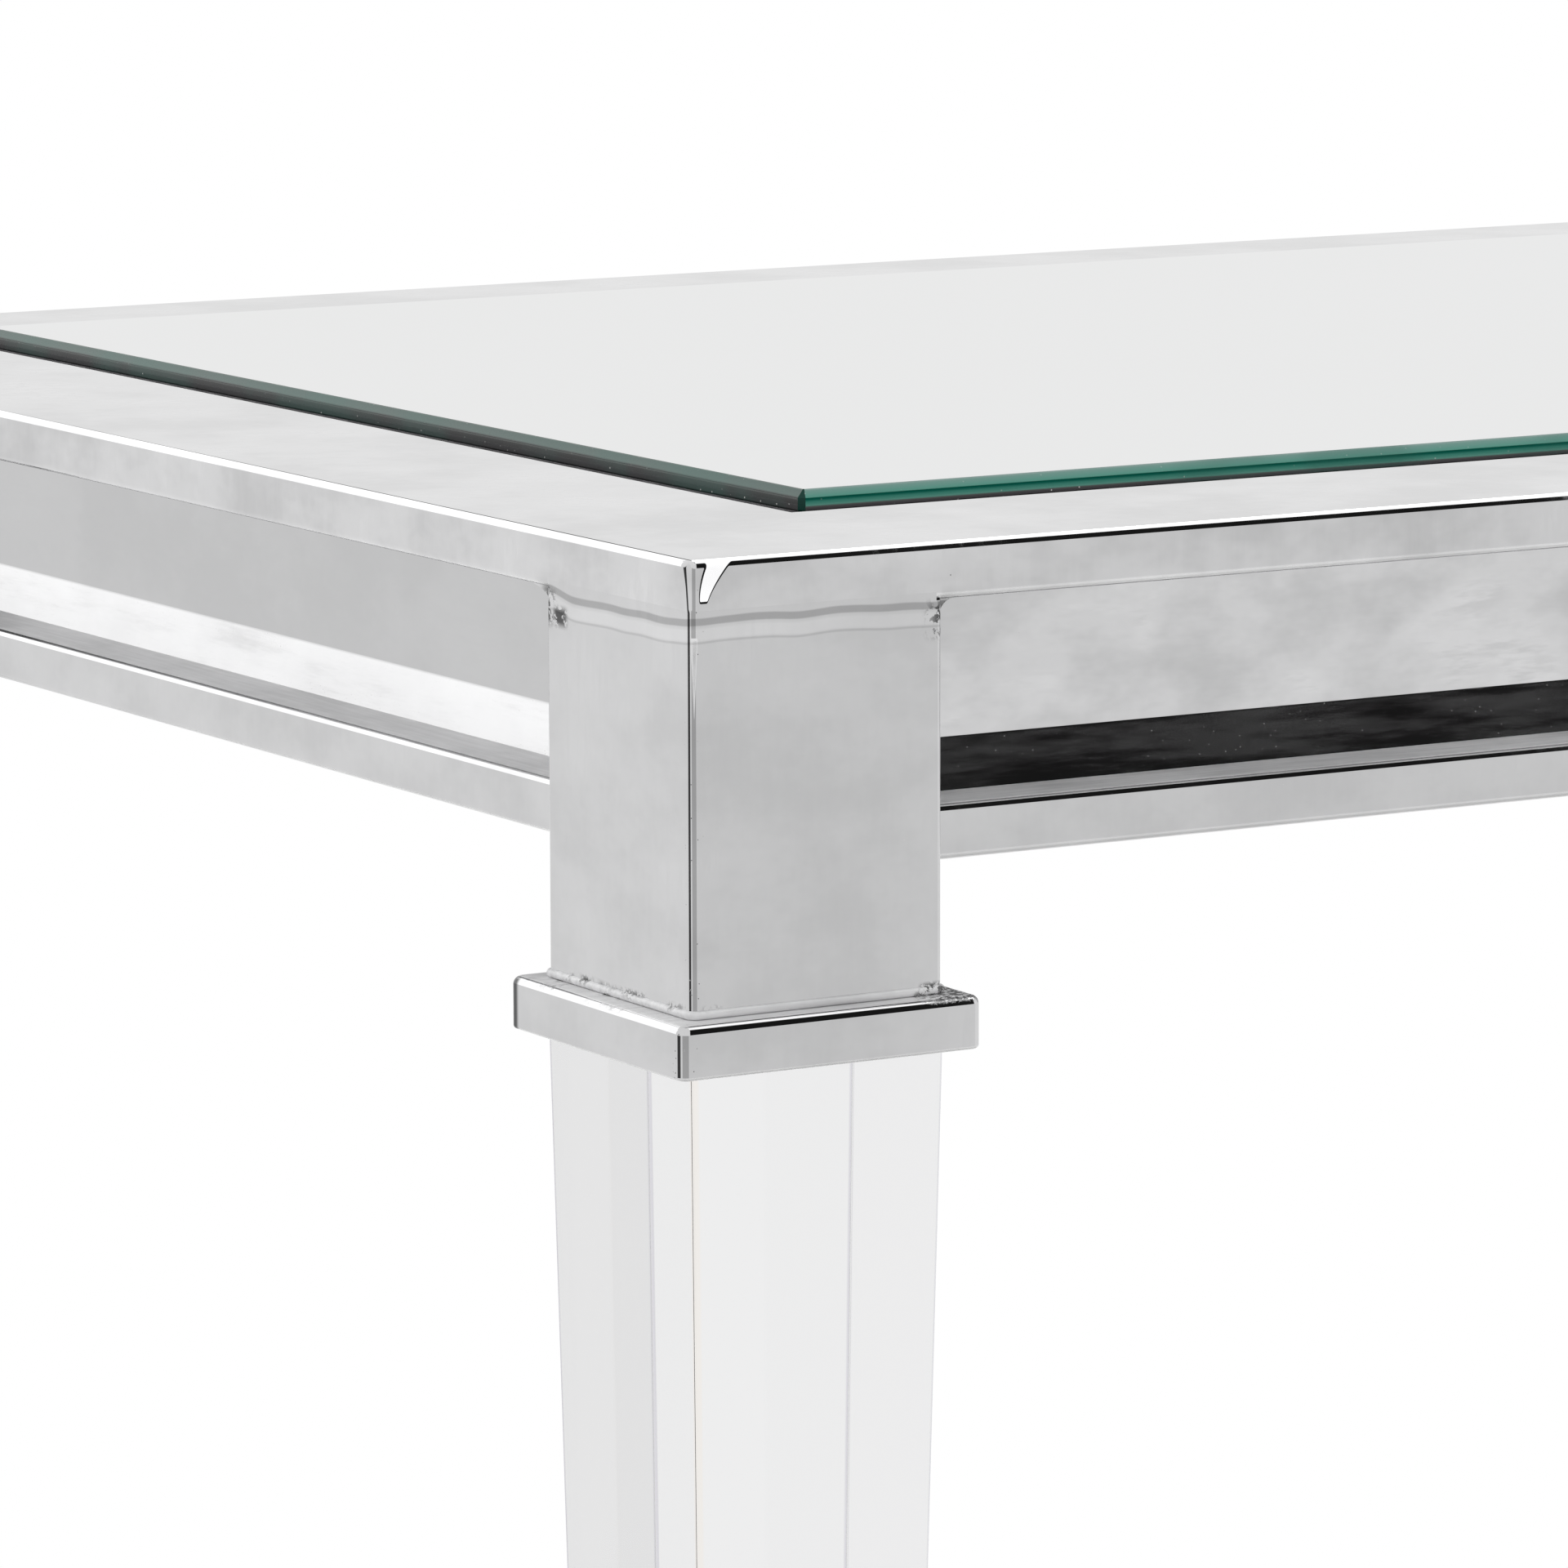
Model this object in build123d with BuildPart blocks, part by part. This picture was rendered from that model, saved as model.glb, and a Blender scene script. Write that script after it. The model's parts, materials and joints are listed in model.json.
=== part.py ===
import os
from math import atan2, cos, tan

from build123d import *

# Console table: a welded frame of polished steel tube on four solid acrylic legs,
# with a mirror pane on a board set into the frame.
# Millimetres. Origin on the floor under the middle of the table,
# +X along its length to the right, +Y to the back, +Z up.

# Driving dimensions of the whole table
length = 1400.0
depth = 446.0
height = 760.0

# Steel stock
edge_radius = 1.4  # rolled edges of every tube, and the ground corners of the frame
tube_wall = 1.5
flat_tube = 10.0  # height of the rim and rail tubes
rim_width = 50.0
post_side = 50.0
post_wall = 2.0
sheet = 1.5

# Top: mirror on its board, standing a little above the rim
pane_thickness = 4.0
pane_proud = 3.1
pane_gap = 3.5  # all round, between the pane and the rim
pane_arris = 1.45
pane_lower_arris = 0.4
silver_thickness = 0.2
board_thickness = 8.8
board_gap = 2.0

# Apron and lower rail, set back from the outer faces of the posts
rail_inset = 15.0
rail_width = 20.0
rail_drop = 38.1  # from the underside of the rim to the top of the rail
apron_inset = 29.0
kick_height = 9.3  # lower flange of the apron, which leans out to the rail
kick_reach = 1.5

# Collar under each post
post_drop = 68.3  # from the underside of the rim to the top of the collar
collar_side = 60.0
collar_height = 9.4
collar_corner = 2.0
collar_top_radius = 1.6
collar_bottom_radius = 0.7
bead_radius = 0.75

# Acrylic leg
leg_foot_side = 24.4
leg_edge = 0.5
tenon_clearance = 0.3
tenon_height = 66.0

# Screws through the post into the tenon, behind the apron
screw_inset = 41.0
screw_radius = 2.0
screw_length = 12.0
screw_head_radius = 4.5
screw_head_height = 2.8
screw_socket = 1.5
screw_drops = (17.0, 31.0)  # below the rim, for the X screw and the Y screw

# Foot glide
glide_radius = 9.0
glide_height = 3.0
glide_edge = 0.8

# Cross bars under the board
bar_width = 30.0
bar_thickness = 4.0
bar_inset = 33.0
bar_spacing = 450.0

# Levels, worked out from the top down
rim_top = height - pane_proud
rim_bottom = rim_top - flat_tube
rail_top = rim_bottom - rail_drop
rail_bottom = rail_top - flat_tube
collar_top = rim_bottom - post_drop
collar_bottom = collar_top - collar_height
pane_bottom = height - pane_thickness
silver_bottom = pane_bottom - silver_thickness
board_bottom = silver_bottom - board_thickness

half_length = length / 2
half_depth = depth / 2
post_x = half_length - post_side / 2
post_y = half_depth - post_side / 2
opening_x = length - 2 * rim_width
opening_y = depth - 2 * rim_width
bore = post_side - 2 * post_wall

corners = {
    "front_left": (-1, -1),
    "front_right": (1, -1),
    "back_left": (-1, 1),
    "back_right": (1, 1),
}
ends = {"left": -1, "right": 1}
faces = {"front": -1, "back": 1}

os.makedirs("parts", exist_ok=True)


def finish(piece, label):
    piece.part.label = label
    export_step(piece.part, f"parts/{label}.step")


# The rim is four flat tubes joined by mitres. It is drawn as one ring and cut at the corners.
with BuildPart() as rim_block:
    with BuildSketch(Plane.XY.offset(rim_bottom)):
        Rectangle(length, depth)
    extrude(amount=flat_tube)
    fillet(rim_block.edges(), edge_radius)

with BuildPart() as rim_ring:
    add(rim_block.part)
    with BuildSketch(Plane.XY.offset(rim_bottom)):
        Rectangle(opening_x, opening_y)
    extrude(amount=flat_tube, mode=Mode.SUBTRACT)
    mouth = [e for e in rim_ring.edges().filter_by(GeomType.LINE).filter_by(Plane.XY)
             if abs(e.center().X) <= opening_x / 2 and abs(e.center().Y) <= opening_y / 2]
    fillet(mouth, edge_radius)
    with BuildSketch(Plane.XY.offset(rim_bottom + tube_wall)):
        Rectangle(length - 2 * tube_wall, depth - 2 * tube_wall)
        Rectangle(opening_x + 2 * tube_wall, opening_y + 2 * tube_wall, mode=Mode.SUBTRACT)
    extrude(amount=flat_tube - 2 * tube_wall, mode=Mode.SUBTRACT)


def rim_member(cut_corners, lengthwise):
    with BuildPart() as member:
        add(rim_ring.part)
        if lengthwise:
            split(bisect_by=Plane(origin=(0, 0, 0), z_dir=(0, cut_corners[0][1], 0)), keep=Keep.TOP)
        for sx, sy in cut_corners:
            inward = (-sx, sy, 0) if lengthwise else (sx, -sy, 0)
            mitre = Plane(origin=(sx * half_length, sy * half_depth, 0), z_dir=inward)
            split(bisect_by=mitre, keep=Keep.TOP)
    return member


for name, sy in faces.items():
    finish(rim_member([(-1, sy), (1, sy)], True), f"rim_{name}")
for name, sx in ends.items():
    finish(rim_member([(sx, -1), (sx, 1)], False), f"rim_{name}")


# Screw axes of one post: a point on each inner face, and the way out of the post
def screw_planes(sx, sy):
    x_face = (sx * (half_length - post_side), sy * (half_depth - screw_inset), rim_bottom - screw_drops[0])
    y_face = (sx * (half_length - screw_inset), sy * (half_depth - post_side), rim_bottom - screw_drops[1])
    return [Plane(origin=x_face, z_dir=(-sx, 0, 0)), Plane(origin=y_face, z_dir=(0, -sy, 0))]


def post(sx, sy):
    with BuildPart() as tube:
        with BuildSketch(Plane.XY.offset(collar_top)):
            with Locations((sx * post_x, sy * post_y)):
                RectangleRounded(post_side, post_side, edge_radius)
                Rectangle(bore, bore, mode=Mode.SUBTRACT)
        extrude(amount=post_drop)
        for face_plane in screw_planes(sx, sy):
            with BuildSketch(face_plane):
                Circle(screw_radius + 0.5)
            extrude(amount=-post_wall - 1, mode=Mode.SUBTRACT)
    return tube


def collar(sx, sy):
    with BuildPart() as ring:
        with BuildSketch(Plane.XY.offset(collar_bottom)):
            with Locations((sx * post_x, sy * post_y)):
                RectangleRounded(collar_side, collar_side, collar_corner)
        extrude(amount=collar_height)
        fillet(ring.faces().sort_by(Axis.Z)[-1].edges(), collar_top_radius)
        fillet(ring.faces().sort_by(Axis.Z)[0].edges(), collar_bottom_radius)
        with BuildSketch(Plane.XY.offset(collar_bottom)):
            with Locations((sx * post_x, sy * post_y)):
                Rectangle(bore, bore)
        extrude(amount=collar_height, mode=Mode.SUBTRACT)
    return ring


# Solid acrylic: a long square taper under the collar, and a square tenon inside the post
def leg(sx, sy):
    with BuildPart() as shaft:
        with BuildSketch(Plane.XY.offset(glide_height)):
            with Locations((sx * post_x, sy * post_y)):
                RectangleRounded(leg_foot_side, leg_foot_side, leg_edge)
        with BuildSketch(Plane.XY.offset(collar_bottom)):
            with Locations((sx * post_x, sy * post_y)):
                RectangleRounded(post_side, post_side, leg_edge)
        loft(ruled=True)
        with BuildSketch(Plane.XY.offset(collar_bottom)):
            with Locations((sx * post_x, sy * post_y)):
                RectangleRounded(bore - 2 * tenon_clearance, bore - 2 * tenon_clearance, leg_edge)
        extrude(amount=tenon_height)
        for face_plane in screw_planes(sx, sy):
            with BuildSketch(face_plane):
                Circle(screw_radius + 0.1)
            extrude(amount=-screw_length - 1, mode=Mode.SUBTRACT)
    return shaft


def glide(sx, sy):
    with BuildPart() as pad:
        with BuildSketch(Plane.XY):
            with Locations((sx * post_x, sy * post_y)):
                Circle(glide_radius)
        extrude(amount=glide_height)
        fillet(pad.edges().group_by(Axis.Z)[0], glide_edge)
    return pad


for name, (sx, sy) in corners.items():
    finish(post(sx, sy), f"post_{name}")
    finish(collar(sx, sy), f"collar_{name}")
    finish(leg(sx, sy), f"leg_{name}")
    finish(glide(sx, sy), f"glide_{name}")


# Section of the apron across its run: u is the distance in from the outer face of the posts.
# The sheet hangs from the rim and its lower flange leans out to meet the rail.
lean = atan2(kick_reach, kick_height)
bend_level = rail_top + kick_height
apron_outline = [
    (apron_inset, rim_bottom),
    (apron_inset, bend_level),
    (apron_inset - kick_reach, rail_top),
    (apron_inset - kick_reach + sheet / cos(lean), rail_top),
    (apron_inset + sheet, bend_level - sheet * tan(lean / 2)),
    (apron_inset + sheet, rim_bottom),
]


# Plane across a run of the frame, with its own X pointing inwards from the outer face and its own
# Y up. The run is then extruded both ways from the middle of the table.
def section_plane(side, lengthwise):
    if lengthwise:
        return Plane(origin=(0, side * half_depth, 0), x_dir=(0, -side, 0), z_dir=(-side, 0, 0))
    return Plane(origin=(side * half_length, 0, 0), x_dir=(-side, 0, 0), z_dir=(0, side, 0))


def apron(side, lengthwise):
    with BuildPart() as panel:
        with BuildSketch(section_plane(side, lengthwise)):
            with BuildLine():
                Polyline(*apron_outline, close=True)
            make_face()
        extrude(amount=(opening_x if lengthwise else opening_y) / 2, both=True)
    return panel


def rail(side, lengthwise):
    with BuildPart() as tube:
        with BuildSketch(section_plane(side, lengthwise)):
            with Locations((rail_inset + rail_width / 2, (rail_top + rail_bottom) / 2)):
                RectangleRounded(rail_width, flat_tube, edge_radius)
                Rectangle(rail_width - 2 * tube_wall, flat_tube - 2 * tube_wall, mode=Mode.SUBTRACT)
        extrude(amount=(opening_x if lengthwise else opening_y) / 2, both=True)
    return tube


for lengthwise, sides in ((True, faces), (False, ends)):
    for name, side in sides.items():
        finish(apron(side, lengthwise), f"apron_{name}")
        finish(rail(side, lengthwise), f"rail_{name}")


# Weld metal at the top of each post, drawn at the front left corner and mirrored to the others.
# A strip fills the rolled edge of the rim flush with the outer faces of the post, and a hollow
# fillet lies in each inner corner, out to the apron. The one under the end rim runs out further.
long_fillet = (3.0, 3.0)  # reach along the rim and drop down the post
end_fillet = (9.0, 4.0)
fillet_length = apron_inset - 0.2 - edge_radius
strip_length = post_side - 2 * edge_radius
corner_x = -half_length + edge_radius
corner_y = -half_depth + edge_radius


def rolled_edge(section):
    with BuildSketch(section) as cusp:
        Rectangle(edge_radius, edge_radius, align=(Align.MIN, Align.MIN))
        with Locations((edge_radius, edge_radius)):
            Circle(edge_radius, mode=Mode.SUBTRACT)
    return cusp


def hollow_fillet(section, reach, drop):
    with BuildSketch(section) as hollow:
        Rectangle(reach, drop, align=(Align.MIN, Align.MAX))
        with Locations((reach, -drop)):
            Ellipse(reach, drop, mode=Mode.SUBTRACT)
    return hollow


across_x = Plane(origin=(corner_x, -half_depth, rim_bottom), x_dir=(0, 1, 0), z_dir=(1, 0, 0))
across_y = Plane(origin=(-half_length, corner_y, rim_bottom), x_dir=(1, 0, 0), z_dir=(0, -1, 0))
with BuildPart() as corner_welds:
    extrude(rolled_edge(across_x).sketch, amount=strip_length)
    extrude(rolled_edge(across_y).sketch, amount=-strip_length)
    revolve(rolled_edge(across_x).sketch, axis=Axis((corner_x, corner_y, 0), (0, 0, -1)), revolution_arc=90)
    end_section = across_x.shift_origin((corner_x, post_side - half_depth, rim_bottom))
    long_section = across_y.shift_origin((post_side - half_length, corner_y, rim_bottom))
    extrude(hollow_fillet(end_section, *end_fillet).sketch, amount=fillet_length)
    extrude(hollow_fillet(long_section, *long_fillet).sketch, amount=-fillet_length)
    mirror(about=Plane.YZ)
    mirror(about=Plane.XZ)
finish(corner_welds, "corner_welds")

# Round weld bead where each post stands on its collar
with BuildPart() as collar_welds:
    for sx, sy in corners.values():
        with BuildSketch(Plane.XY.offset(collar_top)):
            with Locations((sx * post_x, sy * post_y)):
                RectangleRounded(
                    post_side + 2 * bead_radius, post_side + 2 * bead_radius, edge_radius + bead_radius
                )
        extrude(amount=2 * bead_radius)
    for level in (0, -1):
        fillet(collar_welds.edges().group_by(Axis.Z)[level], bead_radius * 0.95)
    for sx, sy in corners.values():
        with BuildSketch(Plane.XY.offset(collar_top)):
            with Locations((sx * post_x, sy * post_y)):
                RectangleRounded(post_side, post_side, edge_radius)
        extrude(amount=2 * bead_radius, mode=Mode.SUBTRACT)
finish(collar_welds, "collar_welds")

# Machine screws that hold the tenons: button head with a hexagon socket
with BuildPart() as leg_screws:
    for sx, sy in corners.values():
        for face_plane in screw_planes(sx, sy):
            with BuildSketch(face_plane):
                Circle(screw_head_radius)
            extrude(amount=screw_head_height, taper=20)
            with BuildSketch(face_plane):
                Circle(screw_radius)
            extrude(amount=-screw_length)
            with BuildSketch(face_plane.offset(screw_head_height)):
                RegularPolygon(screw_socket, 6)
            extrude(amount=-screw_head_height * 0.6, mode=Mode.SUBTRACT)
finish(leg_screws, "leg_screws")


# Flat bars welded under the front and back of the rim, which carry the board
def cross_bar(x):
    with BuildPart() as bar:
        with BuildSketch(Plane.XY.offset(rim_bottom)):
            with Locations((x, 0)):
                Rectangle(bar_width, depth - 2 * bar_inset)
        extrude(amount=-bar_thickness)
        chamfer(bar.edges().filter_by(Axis.Y), 0.5)
    return bar


for name, x in (("left", -bar_spacing), ("middle", 0), ("right", bar_spacing)):
    finish(cross_bar(x), f"cross_bar_{name}")

# Mirror pane with ground arrises, its silvering and the board under it
pane_x = opening_x - 2 * pane_gap
pane_y = opening_y - 2 * pane_gap
with BuildPart() as mirror_glass:
    with BuildSketch(Plane.XY.offset(pane_bottom)):
        Rectangle(pane_x, pane_y)
    extrude(amount=pane_thickness)
    chamfer(mirror_glass.edges().filter_by(Axis.Z), pane_arris * 0.7)
    chamfer(mirror_glass.faces().sort_by(Axis.Z)[-1].edges(), pane_arris)
    chamfer(mirror_glass.faces().sort_by(Axis.Z)[0].edges(), pane_lower_arris)
finish(mirror_glass, "mirror_glass")

with BuildPart() as mirror_silvering:
    with BuildSketch(Plane.XY.offset(silver_bottom)):
        Rectangle(pane_x - 2 * pane_lower_arris, pane_y - 2 * pane_lower_arris)
    extrude(amount=silver_thickness)
finish(mirror_silvering, "mirror_silvering")

with BuildPart() as backing_board:
    with BuildSketch(Plane.XY.offset(board_bottom)):
        Rectangle(opening_x - 2 * board_gap, opening_y - 2 * board_gap)
    extrude(amount=board_thickness)
finish(backing_board, "backing_board")
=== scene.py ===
import json
from math import radians

import bmesh
import bpy
from mathutils import Matrix, Vector

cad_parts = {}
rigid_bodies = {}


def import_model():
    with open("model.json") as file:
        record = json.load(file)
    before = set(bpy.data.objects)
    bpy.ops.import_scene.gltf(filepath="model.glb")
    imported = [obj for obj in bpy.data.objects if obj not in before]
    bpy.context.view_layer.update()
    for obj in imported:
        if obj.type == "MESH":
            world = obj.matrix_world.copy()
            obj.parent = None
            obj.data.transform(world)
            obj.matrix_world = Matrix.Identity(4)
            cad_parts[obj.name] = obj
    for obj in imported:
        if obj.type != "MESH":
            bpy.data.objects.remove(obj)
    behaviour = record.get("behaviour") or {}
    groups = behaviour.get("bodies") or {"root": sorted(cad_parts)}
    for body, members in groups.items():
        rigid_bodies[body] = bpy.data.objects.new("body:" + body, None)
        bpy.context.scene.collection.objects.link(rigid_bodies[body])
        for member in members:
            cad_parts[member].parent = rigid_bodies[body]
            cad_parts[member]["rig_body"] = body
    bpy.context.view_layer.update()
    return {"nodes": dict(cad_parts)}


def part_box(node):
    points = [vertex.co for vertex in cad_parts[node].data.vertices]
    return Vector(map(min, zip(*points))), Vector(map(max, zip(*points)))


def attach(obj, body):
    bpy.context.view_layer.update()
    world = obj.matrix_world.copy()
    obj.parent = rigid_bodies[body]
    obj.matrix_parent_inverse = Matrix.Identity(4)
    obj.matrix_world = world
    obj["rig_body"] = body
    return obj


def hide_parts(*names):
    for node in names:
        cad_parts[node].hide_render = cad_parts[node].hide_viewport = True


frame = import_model()
nodes = frame["nodes"]
millimetre = 0.001

rimLow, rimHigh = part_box("rim_front")
postLow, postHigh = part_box("post_front_left")
collarLow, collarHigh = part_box("collar_front_left")
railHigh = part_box("rail_front")[1]
paneLow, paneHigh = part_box("mirror_glass")

# Levels and half sizes that the finishes use, in millimetres
table = {
    "halfLength": abs(rimLow.x) / millimetre,
    "halfDepth": abs(rimLow.y) / millimetre,
    "post": (postHigh.x - postLow.x) / millimetre,
    "rimTop": rimHigh.z / millimetre,
    "rimBottom": rimLow.z / millimetre,
    "railTop": railHigh.z / millimetre,
    "collarSide": (collarHigh.x - collarLow.x) / millimetre,
    "collarTop": collarHigh.z / millimetre,
    "collarBottom": collarLow.z / millimetre,
    "paneTop": paneHigh.z / millimetre,
}


# One output of a shader node. Sums and products of values add Math nodes.
class Value:
    def __init__(self, shop, socket):
        self.shop = shop
        self.socket = socket

    def pick(self, output):
        return Value(self.shop, self.socket.node.outputs[output])

    def __add__(self, other):
        return self.shop.maths("ADD", self, other)

    def __sub__(self, other):
        return self.shop.maths("SUBTRACT", self, other)

    def __mul__(self, other):
        return self.shop.maths("MULTIPLY", self, other)

    def __truediv__(self, other):
        return self.shop.maths("DIVIDE", self, other)

    def __pow__(self, other):
        return self.shop.maths("POWER", self, other)

    def __rsub__(self, other):
        return self.shop.maths("SUBTRACT", other, self)

    def __neg__(self):
        return self.shop.maths("MULTIPLY", self, -1.0)

    __radd__ = __add__
    __rmul__ = __mul__


# Adds nodes to one tree, of a material or of the world
class Shop:
    def __init__(self, tree):
        self.tree = tree
        tree.nodes.clear()

    def add(self, kind, settings=None, sockets=None, output=0):
        node = self.tree.nodes.new(kind)
        for name, setting in (settings or {}).items():
            if name == "stops":
                self.fillRamp(node.color_ramp, setting)
            else:
                setattr(node, name, setting)
        pairs = sockets.items() if isinstance(sockets, dict) else enumerate(sockets or [])
        for key, value in pairs:
            if isinstance(value, Value):
                self.tree.links.new(value.socket, node.inputs[key])
            else:
                node.inputs[key].default_value = value
        return Value(self, node.outputs[output]) if node.outputs else node

    def fillRamp(self, ramp, stops):
        while len(ramp.elements) < len(stops):
            ramp.elements.new(0.5)
        for element, (place, colour) in zip(ramp.elements, stops):
            element.position = place
            element.color = colour

    def maths(self, operation, *values):
        return self.add("ShaderNodeMath", {"operation": operation}, values)

    def vectors(self, operation, *values):
        return self.add("ShaderNodeVectorMath", {"operation": operation}, values)

    def split(self, vector):
        parts = self.add("ShaderNodeSeparateXYZ", None, [vector])
        return parts, parts.pick("Y"), parts.pick("Z")

    def absolute(self, value):
        return self.maths("ABSOLUTE", value)

    def larger(self, a, b):
        return self.maths("MAXIMUM", a, b)

    def smaller(self, a, b):
        return self.maths("MINIMUM", a, b)

    # 0 below low, 1 above high, with a smooth rise between
    def rise(self, value, low, high):
        smooth = {"interpolation_type": "SMOOTHSTEP"}
        return self.add("ShaderNodeMapRange", smooth, [value, low, high, 0.0, 1.0])

    # 1 within half of the middle, falling to 0 over the next soft
    def near(self, value, middle, half, soft):
        return 1.0 - self.rise(self.absolute(value - middle), half, half + soft)

    # bell curve of the given half width
    def bell(self, value, width):
        return self.maths("EXPONENT", -((value / width) ** 2.0))

    def blend(self, factor, a, b):
        return self.add("ShaderNodeMix", {"data_type": "FLOAT"}, {0: factor, 2: a, 3: b})

    def blendColour(self, factor, a, b):
        return self.add("ShaderNodeMix", {"data_type": "RGBA"}, {0: factor, 6: a, 7: b}, 2)

    def blendVector(self, factor, a, b):
        return self.add("ShaderNodeMix", {"data_type": "VECTOR"}, {0: factor, 4: a, 5: b}, 1)

    # colour that changes along a value, from stops of (value, colour)
    def gradient(self, value, stops):
        last = stops[-1][0]
        shares = [(place / last, colour + (1.0,)) for place, colour in stops]
        return self.add("ShaderNodeValToRGB", {"stops": shares}, [value / last])

    def scaled(self, vector, factor):
        return self.add("ShaderNodeVectorMath", {"operation": "SCALE"}, {0: vector, "Scale": factor})

    # place on the table in millimetres
    def millimetres(self):
        coordinates = self.add("ShaderNodeTexCoord", None, None, "Object")
        return self.scaled(coordinates, 1 / millimetre)

    # noise with features of about the given size, drawn out along stretch
    def noise(self, place, size, stretch=(1, 1, 1), detail=2.0, roughness=0.5, shift=0.0):
        stretched = self.add("ShaderNodeMapping", None, {
            "Vector": place,
            "Location": (shift, shift * 0.7, shift * 0.3),
            "Scale": tuple(1 / (size * s) for s in stretch),
        })
        return self.add("ShaderNodeTexNoise", None, {
            "Vector": stretched,
            "Scale": 1.0,
            "Detail": detail,
            "Roughness": roughness,
        })

    # scattered round specks: their spacing, their size and the share of cells that has one
    def specks(self, place, cell, radius, share):
        spaced = self.scaled(place, 1 / cell)
        cells = self.add("ShaderNodeTexVoronoi", None, {"Vector": spaced, "Scale": 1.0})
        chance = self.add("ShaderNodeSeparateColor", None, [cells.pick("Color")])
        spot = 1.0 - self.rise(cells, radius / cell * 0.5, radius / cell)
        return spot * self.rise(chance, 1 - share, 1 - share + 0.01)

    def bump(self, height):
        return self.add("ShaderNodeBump", None, {"Strength": 1.0, "Distance": millimetre, "Height": height})

    # turns the normal towards a direction where mask is 1, mirrored to each corner of the table
    def facet(self, mask, normal, x, y, direction):
        outward = self.add("ShaderNodeCombineXYZ", None, [
            self.maths("SIGN", x) * direction[0],
            self.maths("SIGN", y) * direction[1],
            direction[2],
        ])
        return self.vectors("NORMALIZE", self.blendVector(mask, normal, outward))

    # direction of the flat face, as sizes along X, Y and Z
    def facing(self):
        normal = self.add("ShaderNodeNewGeometry", None, None, "True Normal")
        return self.split(self.vectors("ABSOLUTE", normal))

    def finishSurface(self, sockets):
        surface = self.add("ShaderNodeBsdfPrincipled", None, sockets)
        self.add("ShaderNodeOutputMaterial", None, {"Surface": surface})


def newMaterial(name):
    material = bpy.data.materials.new(name)
    material.use_nodes = True
    return material, Shop(material.node_tree)


print("steel finishes")

grainRuns = {"x": (14, 1, 1), "y": (1, 14, 1), "z": (1, 1, 14)}
rippleRuns = {"x": (2, 1, 1), "y": (1, 2, 1), "z": (1, 1, 2)}

steelLooks = {
    "rim": {
        "run": "mitre", "dark": 0.56, "light": 0.80, "wave": 0.030, "ripple": 0.0020, "rough": 0.035,
        "smudge": 0.12,
    },
    "post": {
        "run": "z", "dark": 0.60, "light": 0.72, "wave": 0.034, "ripple": 0.0012, "rough": 0.045,
        "smudge": 0.07,
    },
    "collar": {
        "run": "x", "dark": 0.60, "light": 0.72, "wave": 0.012, "ripple": 0.0012, "rough": 0.035,
        "smudge": 0.06,
    },
    "apronLong": {
        "run": "x", "dark": 0.58, "light": 0.86, "wave": 0.060, "ripple": 0.0016, "rough": 0.040,
        "smudge": 0.22,
    },
    "apronShort": {
        "run": "y", "dark": 0.56, "light": 0.62, "wave": 0.040, "ripple": 0.0008, "rough": 0.025,
        "smudge": 0.03,
    },
    "railLong": {
        "run": "x", "dark": 0.60, "light": 0.72, "wave": 0.030, "ripple": 0.0012, "rough": 0.035,
        "smudge": 0.05,
    },
    "railShort": {
        "run": "y", "dark": 0.60, "light": 0.72, "wave": 0.030, "ripple": 0.0012, "rough": 0.035,
        "smudge": 0.05,
    },
}

# Sizes of the patterns that all the steel shares, in millimetres
steelPatterns = {"hair": 0.3, "ripple": 7.0, "wave": 42.0, "cloud": 24.0, "streak": 3.0}
steelMarks = {"dust": (0.75, 0.74, 0.72, 1.0), "brightest": 0.95, "blue": 1.008, "pitDepth": 0.03}

# Shallow hollow left by grinding the joint between rim and post, with painted shade lines along it and a
# painted highlight line on its lower side
junctionHollow = {
    "depth": 0.10, "width": 2.0, "below": 0.6, "wander": 3.2, "wanderSize": 17.0, "shade": 0.34, "fade": 5.0,
    "paintedFineShadeLine": -3.6, "paintedHighlightLine": -2.2,
}

# Weld marks at the junction, and a painted shade line down the post's inner edges: levels below the rim,
# size of the blots, then places in from the inner edge of the post
junctionWeld = {
    "level": 3.2, "spotLevel": 4.6, "paintedEdgeShadeLevel": 9.0, "blotSize": 1.5,
    "outerFrom": 5.0, "outerTo": 1.0, "spotIn": 5.2, "paintedEdgeShadeFrom": 1.1, "paintedEdgeShadeTo": 0.3,
}

# Bead of weld on top of the collar, the painted shade line above it, and the painted dark reflection at the
# far end of its outer face
collarWeld = {"pitLevel": 0.7, "paintedShadeLineLevel": 1.0, "blotSize": 0.9, "paintedDarkEndFrom": 3.6, "paintedDarkEndTo": 2.4}

# Polishing dust and smears on the lower flange of the aprons, up to this height over the rail. On the short
# aprons the flange is also painted lighter, a painted reflection, by dark less cleared where smeared
flange = {"full": 8.8, "end": 9.3, "smearSize": 5.0, "calm": 0.7, "dark": 0.34, "cleared": 0.22, "dull": 0.07}

# Satin steel on top of the rails and collars, where the polishing mop can't reach
ledge = {"dark": 0.64, "light": 0.90, "rough": 0.34, "dull": 0.90, "from": 0.15, "to": 0.05, "grain": 1.2}

# Facets that the grinder left where the rim's rolled edges meet at a corner
groundCorner = {
    "leafDrop": 7.6, "leafFoot": 2.2, "leafSweep": 3.4, "leafNarrow": 0.8, "leafWiden": 2.1,
    "leafTurn": (0.0, 0.57, 0.82),
    "flareDrop": 9.0, "flareStart": 1.2, "flareReach": 3.2,
    "flareTurn": (0.75, 0.66, 0.0),
}

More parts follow.
